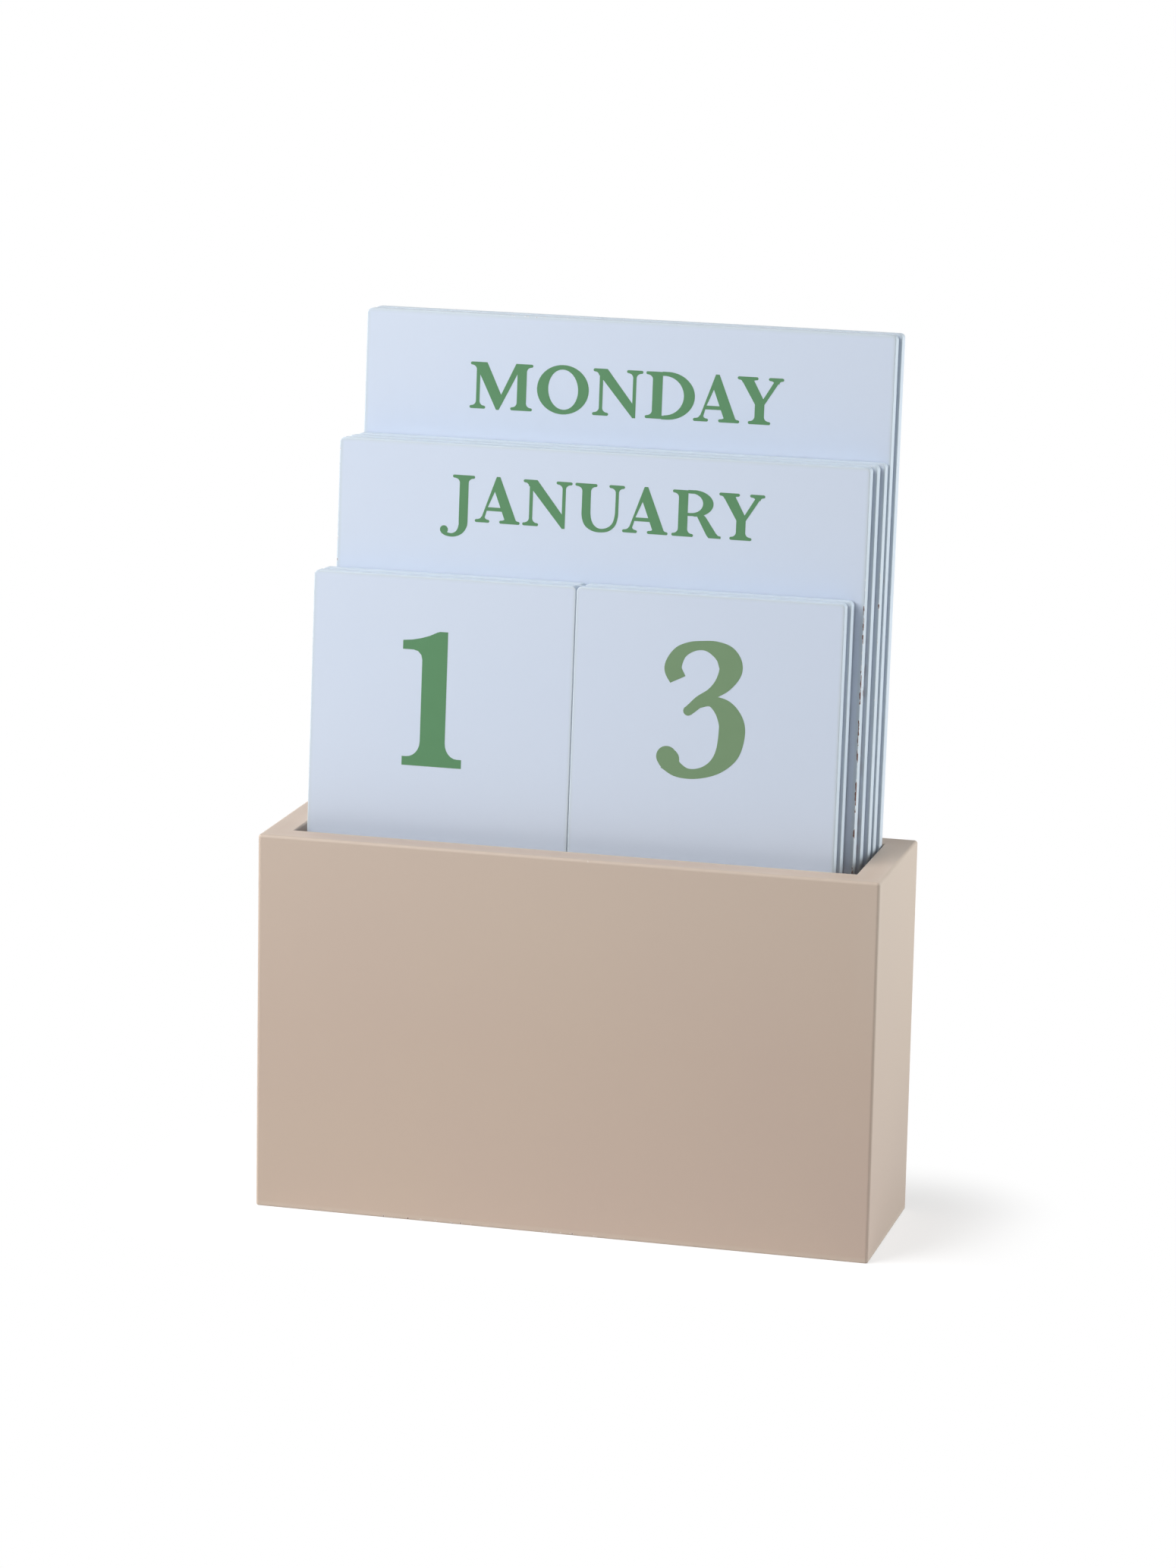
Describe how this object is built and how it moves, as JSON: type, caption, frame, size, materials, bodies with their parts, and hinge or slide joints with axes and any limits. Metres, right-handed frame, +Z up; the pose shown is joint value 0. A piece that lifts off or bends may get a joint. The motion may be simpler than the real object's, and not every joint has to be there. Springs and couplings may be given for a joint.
{
  "type": "perpetual desk calendar",
  "caption": "Perpetual desk calendar: an open box in which printed weekday, month and number boards stand and lift out.",
  "frame": {"origin": "middle of the box's underside, on the table", "axes": "+Z up, +X to the right of a reader who faces the calendar, +Y to the back"},
  "size_m": [0.12, 0.0376, 0.1702],
  "materials": {
    "taupe_lacquer": "satin lacquer over fibreboard",
    "blue_lacquer": "satin lacquer over thin fibreboard, printed in green"
  },
  "bodies": {
    "box": {"front_panel": "taupe_lacquer", "back_panel": "taupe_lacquer", "left_panel": "taupe_lacquer", "right_panel": "taupe_lacquer", "base_panel": "taupe_lacquer"},
    "number_board_left_front": {"number_board_left_front": "blue_lacquer"},
    "number_board_left_rear": {"number_board_left_rear": "blue_lacquer"},
    "number_board_right_front": {"number_board_right_front": "blue_lacquer"},
    "number_board_right_rear": {"number_board_right_rear": "blue_lacquer"},
    "month_board_front": {"month_board_front": "blue_lacquer"},
    "month_board_middle": {"month_board_middle": "blue_lacquer"},
    "month_board_rear": {"month_board_rear": "blue_lacquer"},
    "weekday_board_front": {"weekday_board_front": "blue_lacquer"},
    "weekday_board_rear": {"weekday_board_rear": "blue_lacquer"}
  },
  "joints": [
    {"name": "lift_number_board_left_front", "type": "slide", "parent": "box", "child": "number_board_left_front", "axis": [0, 0.0663, 0.9978], "range_m": [0, 0.075]},
    {"name": "lift_number_board_left_rear", "type": "slide", "parent": "box", "child": "number_board_left_rear", "axis": [0, 0.0663, 0.9978], "range_m": [0, 0.075]},
    {"name": "lift_number_board_right_front", "type": "slide", "parent": "box", "child": "number_board_right_front", "axis": [0, 0.0663, 0.9978], "range_m": [0, 0.075]},
    {"name": "lift_number_board_right_rear", "type": "slide", "parent": "box", "child": "number_board_right_rear", "axis": [0, 0.0663, 0.9978], "range_m": [0, 0.075]},
    {"name": "lift_month_board_front", "type": "slide", "parent": "box", "child": "month_board_front", "axis": [0, 0.0663, 0.9978], "range_m": [0, 0.075]},
    {"name": "lift_month_board_middle", "type": "slide", "parent": "box", "child": "month_board_middle", "axis": [0, 0.0663, 0.9978], "range_m": [0, 0.075]},
    {"name": "lift_month_board_rear", "type": "slide", "parent": "box", "child": "month_board_rear", "axis": [0, 0.0663, 0.9978], "range_m": [0, 0.075]},
    {"name": "lift_weekday_board_front", "type": "slide", "parent": "box", "child": "weekday_board_front", "axis": [0, 0.0663, 0.9978], "range_m": [0, 0.075]},
    {"name": "lift_weekday_board_rear", "type": "slide", "parent": "box", "child": "weekday_board_rear", "axis": [0, 0.0663, 0.9978], "range_m": [0, 0.075]}
  ]
}
